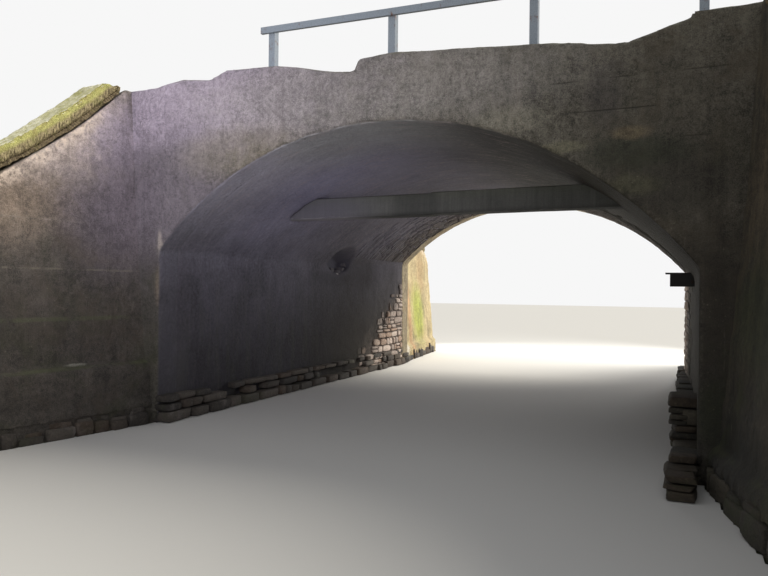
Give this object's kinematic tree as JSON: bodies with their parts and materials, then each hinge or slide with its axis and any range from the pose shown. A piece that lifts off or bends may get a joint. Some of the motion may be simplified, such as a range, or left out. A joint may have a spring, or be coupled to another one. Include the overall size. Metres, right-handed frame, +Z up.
{
  "type": "widened stone packhorse bridge",
  "caption": "Segmental stone arch bridge over a stream, widened on one side, with swept wing walls, mossy copings, low parapets, railings and a beam across the barrel.",
  "frame": {"origin": "midway between the jambs and between the outer faces, at the foot of the walls", "axes": "+X to the right along the faces, +Y along the barrel from the near face to the far one, +Z up"},
  "size_m": [8.2868, 12.8, 4.2924],
  "materials": {
    "facing": "rough, weathered and stained",
    "barrel_lining": "fairly smooth, dark, damp and streaked",
    "rubble": "rough, brownish grey",
    "road_fill": "loose, gritty",
    "mossy_coping": "rough, moss covered",
    "mossy_plinth": "rough, algae stained",
    "footing_stone": "rough, wet at the foot",
    "beam": "weathered, algae stained",
    "stub_iron": "dull, rusty black",
    "railing_paint": "dull, weathered"
  },
  "bodies": {
    "root": {"near_left_abutment": "barrel_lining", "near_right_abutment": "barrel_lining", "far_left_abutment": "rubble", "far_right_abutment": "rubble", "near_left_jamb": "facing", "near_right_jamb": "facing", "far_left_jamb": "facing", "far_right_jamb": "facing", "near_vault": "barrel_lining", "far_vault": "rubble", "near_spandrel": "facing", "far_spandrel": "facing", "near_parapet": "facing", "far_parapet": "facing", "near_left_end_block": "facing", "near_right_end_block": "facing", "far_left_end_block": "facing", "far_right_end_block": "facing", "road_bed": "road_fill", "near_left_wing": "facing", "near_right_wing": "facing", "far_left_wing": "facing", "far_right_wing": "facing", "near_left_coping": "mossy_coping", "near_right_coping": "mossy_coping", "far_left_coping": "mossy_coping", "far_right_coping": "mossy_coping", "near_left_plinth": "mossy_plinth", "near_right_plinth": "mossy_plinth", "far_left_plinth": "mossy_plinth", "far_right_plinth": "mossy_plinth", "left_footing": "footing_stone", "right_footing": "footing_stone", "cross_beam": "beam", "beam_stub": "stub_iron", "near_post_1": "railing_paint", "near_post_2": "railing_paint", "near_post_3": "railing_paint", "near_post_4": "railing_paint", "near_handrail": "railing_paint", "far_post_1": "railing_paint", "far_post_2": "railing_paint", "far_post_3": "railing_paint", "far_post_4": "railing_paint", "far_handrail": "railing_paint"}
  },
  "joints": []
}
